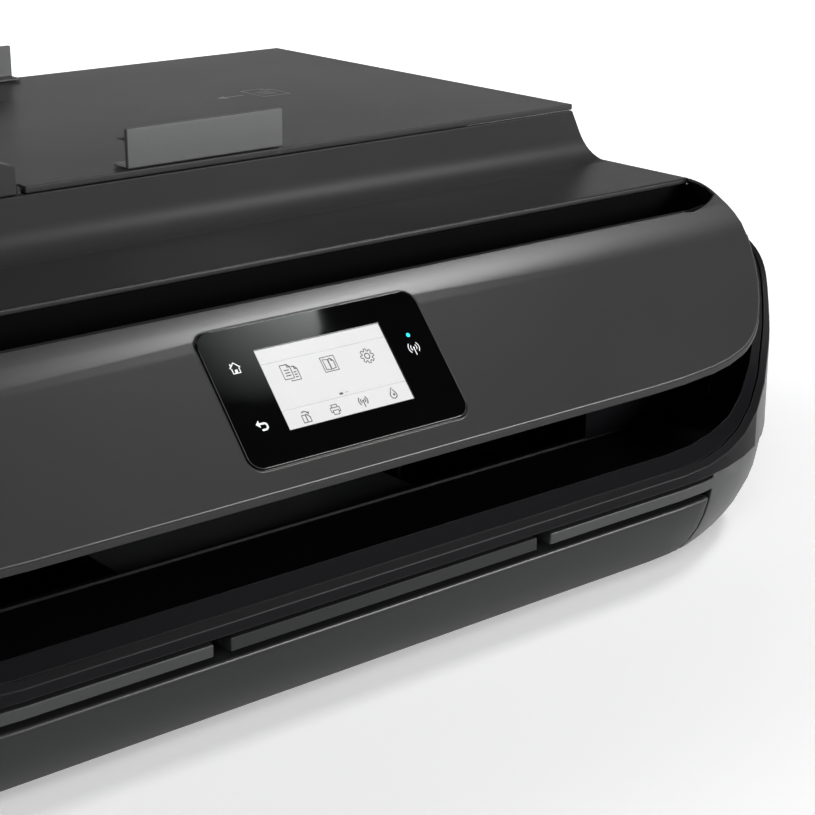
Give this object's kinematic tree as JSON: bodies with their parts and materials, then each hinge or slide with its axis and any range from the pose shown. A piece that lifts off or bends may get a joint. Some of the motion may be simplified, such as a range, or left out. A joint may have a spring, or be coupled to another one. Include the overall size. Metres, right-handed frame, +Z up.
{
  "type": "inkjet printer",
  "caption": "Desktop inkjet printer with a paper drawer, an output bowl, a tilted control panel, a lift-up flatbed scanner and a document feeder on the lid.",
  "frame": {"origin": "centre of the footprint, on the surface the printer stands on", "axes": "+X to the right seen from the front, +Y to the back, +Z up"},
  "size_m": [0.445, 0.367, 0.1909],
  "materials": {
    "shell_grey": "fine grain",
    "shell_dark": "fine grain",
    "bowl_plastic": "smooth satin",
    "fascia_plastic": "fine grain",
    "lid_plastic": "fine grain",
    "dark_plastic": "smooth",
    "guide_plastic": "smooth",
    "white_pad": "smooth",
    "gear_plastic": "smooth",
    "gloss_black": "polished",
    "screen_face": "backlit",
    "colour_plastic": "smooth",
    "rubber": "matte",
    "sheet_steel": "galvanised",
    "shaft_steel": "ground",
    "motor_steel": "plated",
    "brass": "machined",
    "board_green": "solder mask",
    "felt": "felt",
    "clear_glass": "polished",
    "clear_film": "film"
  },
  "bodies": {
    "root": {"lower_shell": "shell_grey", "middle_shell": "shell_dark", "output_bowl": "bowl_plastic", "rubber_feet": "rubber", "chassis_frame": "sheet_steel", "carriage_rod": "shaft_steel", "encoder_strip": "clear_film", "carriage_belt": "rubber", "carriage_motor": "motor_steel", "platen": "dark_plastic", "feed_motor": "motor_steel", "paper_guide": "dark_plastic", "service_station": "dark_plastic", "ink_absorber": "felt", "power_supply": "dark_plastic", "power_inlet": "dark_plastic", "main_board": "board_green"},
    "scanner": {"scanner_housing": "shell_dark", "fascia": "fascia_plastic", "panel_glass": "gloss_black", "screen": "screen_face", "control_board": "board_green", "scanner_glass": "clear_glass", "scan_rod": "shaft_steel", "scan_drive": "motor_steel"},
    "lid": {"lid": "lid_plastic", "lid_pad": "white_pad", "feeder_base": "lid_plastic"},
    "drawer": {"drawer_tray": "dark_plastic", "drawer_front": "fascia_plastic"},
    "carriage": {"print_carriage": "dark_plastic", "black_cartridge": "dark_plastic", "colour_cartridge": "colour_plastic"},
    "feeder_cover": {"feeder_cover": "lid_plastic"},
    "feeder_tray": {"feeder_tray": "lid_plastic"},
    "feeder_guide_rear": {"feeder_guide_rear": "guide_plastic"},
    "feeder_guide_front": {"feeder_guide_front": "guide_plastic"},
    "feeder_roller": {"feeder_roller": "rubber"},
    "feeder_pickup": {"feeder_pickup": "rubber"},
    "scan_bar": {"scan_bar": "dark_plastic"},
    "power_button": {"power_button": "guide_plastic"},
    "drive_pulley": {"drive_pulley": "gear_plastic"},
    "idler_pulley": {"idler_pulley": "gear_plastic"},
    "left_latch": {"left_latch": "guide_plastic"},
    "right_latch": {"right_latch": "guide_plastic"},
    "feed_roller": {"feed_roller": "rubber"},
    "pinch_rollers": {"pinch_rollers": "gear_plastic"},
    "output_roller": {"output_roller": "rubber"},
    "star_wheels": {"star_wheels": "shaft_steel"},
    "idler_gear": {"idler_gear": "gear_plastic"},
    "motor_pinion": {"motor_pinion": "brass"},
    "pickup_roller": {"pickup_roller": "rubber"},
    "cap_sled": {"cap_sled": "guide_plastic"},
    "rear_door": {"rear_door": "shell_dark"},
    "left_width_guide": {"left_width_guide": "guide_plastic"},
    "right_width_guide": {"right_width_guide": "guide_plastic"},
    "guide_pinion": {"guide_pinion": "gear_plastic"},
    "length_guide": {"length_guide": "guide_plastic"},
    "tray_extender": {"tray_extender": "shell_grey"},
    "extender_tip": {"extender_tip": "shell_grey"}
  },
  "joints": [
    {"name": "scanner_hinge", "type": "hinge", "parent": "root", "child": "scanner", "pos_m": [0, 0.1775, 0.11105], "axis": [-1, 0, 0], "range_deg": [0, 28]},
    {"name": "lid_hinge", "type": "hinge", "parent": "scanner", "child": "lid", "pos_m": [0, 0.1765, 0.126], "axis": [-1, 0, 0], "range_deg": [0, 78]},
    {"name": "cover_hinge", "type": "hinge", "parent": "lid", "child": "feeder_cover", "pos_m": [-0.2154, 0, 0.1533], "axis": [0, -1, 0], "range_deg": [0, 75]},
    {"name": "feeder_tray_hinge", "type": "hinge", "parent": "lid", "child": "feeder_tray", "pos_m": [-0.05015, 0, 0.15265], "axis": [0, -1, 0], "range_deg": [0, 35]},
    {"name": "feeder_guide_rear_slide", "type": "slide", "parent": "feeder_tray", "child": "feeder_guide_rear", "axis": [0, -1, 0], "range_m": [0, 0.045]},
    {"name": "feeder_guide_front_slide", "type": "slide", "parent": "feeder_tray", "child": "feeder_guide_front", "axis": [0, 1, 0], "range_m": [0, 0.045]},
    {"name": "feeder_roller_spin", "type": "hinge", "parent": "lid", "child": "feeder_roller", "pos_m": [-0.14, 0, 0.1451], "axis": [0, 1, 0], "continuous": true},
    {"name": "feeder_pickup_spin", "type": "hinge", "parent": "lid", "child": "feeder_pickup", "pos_m": [-0.104, 0, 0.1451], "axis": [0, 1, 0], "continuous": true},
    {"name": "scan_bar_slide", "type": "slide", "parent": "scanner", "child": "scan_bar", "axis": [1, 0, 0], "range_m": [0, 0.296]},
    {"name": "power_button_press", "type": "slide", "parent": "scanner", "child": "power_button", "axis": [0, 0.749, -0.6626], "range_m": [0, 0.0012], "stiffness_N_per_m": 300, "springref_m": -0.0004},
    {"name": "carriage_slide", "type": "slide", "parent": "root", "child": "carriage", "axis": [-1, 0, 0], "range_m": [0, 0.296]},
    {"name": "drive_pulley_spin", "type": "hinge", "parent": "root", "child": "drive_pulley", "pos_m": [-0.181, 0.061, 0], "axis": [0, 0, 1], "range_deg": [-3710, 20]},
    {"name": "idler_pulley_spin", "type": "hinge", "parent": "root", "child": "idler_pulley", "pos_m": [0.181, 0.061, 0], "axis": [0, 0, 1], "range_deg": [-3710, 20]},
    {"name": "left_latch_hinge", "type": "hinge", "parent": "carriage", "child": "left_latch", "pos_m": [0, -0.0294, 0.066], "axis": [1, 0, 0], "range_deg": [0, 40]},
    {"name": "right_latch_hinge", "type": "hinge", "parent": "carriage", "child": "right_latch", "pos_m": [0, -0.0294, 0.066], "axis": [1, 0, 0], "range_deg": [0, 40]},
    {"name": "feed_roller_spin", "type": "hinge", "parent": "root", "child": "feed_roller", "pos_m": [0, 0.042, 0.047], "axis": [1, 0, 0], "continuous": true},
    {"name": "pinch_rollers_spin", "type": "hinge", "parent": "root", "child": "pinch_rollers", "pos_m": [0, 0.042, 0.0583], "axis": [1, 0, 0], "continuous": true},
    {"name": "output_roller_spin", "type": "hinge", "parent": "root", "child": "output_roller", "pos_m": [0, -0.036, 0.049], "axis": [1, 0, 0], "continuous": true},
    {"name": "star_wheels_spin", "type": "hinge", "parent": "root", "child": "star_wheels", "pos_m": [0, -0.036, 0.0588], "axis": [1, 0, 0], "continuous": true},
    {"name": "idler_gear_spin", "type": "hinge", "parent": "root", "child": "idler_gear", "pos_m": [0, 0.003, 0.03917], "axis": [1, 0, 0], "continuous": true},
    {"name": "motor_pinion_spin", "type": "hinge", "parent": "root", "child": "motor_pinion", "pos_m": [0, 0.042, 0.0254], "axis": [1, 0, 0], "continuous": true},
    {"name": "pickup_roller_spin", "type": "hinge", "parent": "root", "child": "pickup_roller", "pos_m": [0, 0.112, 0.0377], "axis": [1, 0, 0], "continuous": true},
    {"name": "cap_sled_slide", "type": "slide", "parent": "root", "child": "cap_sled", "axis": [0, 0, 1], "range_m": [-0.004, 0], "stiffness_N_per_m": 600, "springref_m": 0.002},
    {"name": "rear_door_hinge", "type": "hinge", "parent": "root", "child": "rear_door", "pos_m": [0, 0.1815, 0.048], "axis": [-1, 0, 0], "range_deg": [0, 95]},
    {"name": "drawer_slide", "type": "slide", "parent": "root", "child": "drawer", "axis": [0, -1, 0], "range_m": [0, 0.22]},
    {"name": "left_guide_slide", "type": "slide", "parent": "drawer", "child": "left_width_guide", "axis": [1, 0, 0], "range_m": [0, 0.03]},
    {"name": "right_guide_slide", "type": "slide", "parent": "drawer", "child": "right_width_guide", "axis": [-1, 0, 0], "range_m": [0, 0.03]},
    {"name": "guide_pinion_spin", "type": "hinge", "parent": "drawer", "child": "guide_pinion", "pos_m": [0, 0, 0], "axis": [0, 0, 1], "range_deg": [-300, 2]},
    {"name": "length_guide_slide", "type": "slide", "parent": "drawer", "child": "length_guide", "axis": [0, 1, 0], "range_m": [0, 0.087]},
    {"name": "extender_slide", "type": "slide", "parent": "root", "child": "tray_extender", "axis": [0, -1, 0], "range_m": [0, 0.1]},
    {"name": "extender_tip_slide", "type": "slide", "parent": "tray_extender", "child": "extender_tip", "axis": [0, -1, 0], "range_m": [0, 0.055]}
  ],
  "couplings": [
    {"joint": "feeder_guide_front_slide", "follows": "feeder_guide_rear_slide", "ratio": 1},
    {"joint": "feeder_pickup_spin", "follows": "feeder_roller_spin", "ratio": 1},
    {"joint": "drive_pulley_spin", "follows": "carriage_slide", "rad_per_m": -217.39},
    {"joint": "idler_pulley_spin", "follows": "carriage_slide", "rad_per_m": -217.39},
    {"joint": "output_roller_spin", "follows": "feed_roller_spin", "ratio": 1},
    {"joint": "idler_gear_spin", "follows": "feed_roller_spin", "ratio": -0.66667},
    {"joint": "motor_pinion_spin", "follows": "feed_roller_spin", "ratio": -2.8571},
    {"joint": "pinch_rollers_spin", "follows": "feed_roller_spin", "ratio": -1.75},
    {"joint": "star_wheels_spin", "follows": "feed_roller_spin", "ratio": -1.1111},
    {"joint": "right_guide_slide", "follows": "left_guide_slide", "ratio": 1},
    {"joint": "guide_pinion_spin", "follows": "left_guide_slide", "rad_per_m": -166.67}
  ]
}
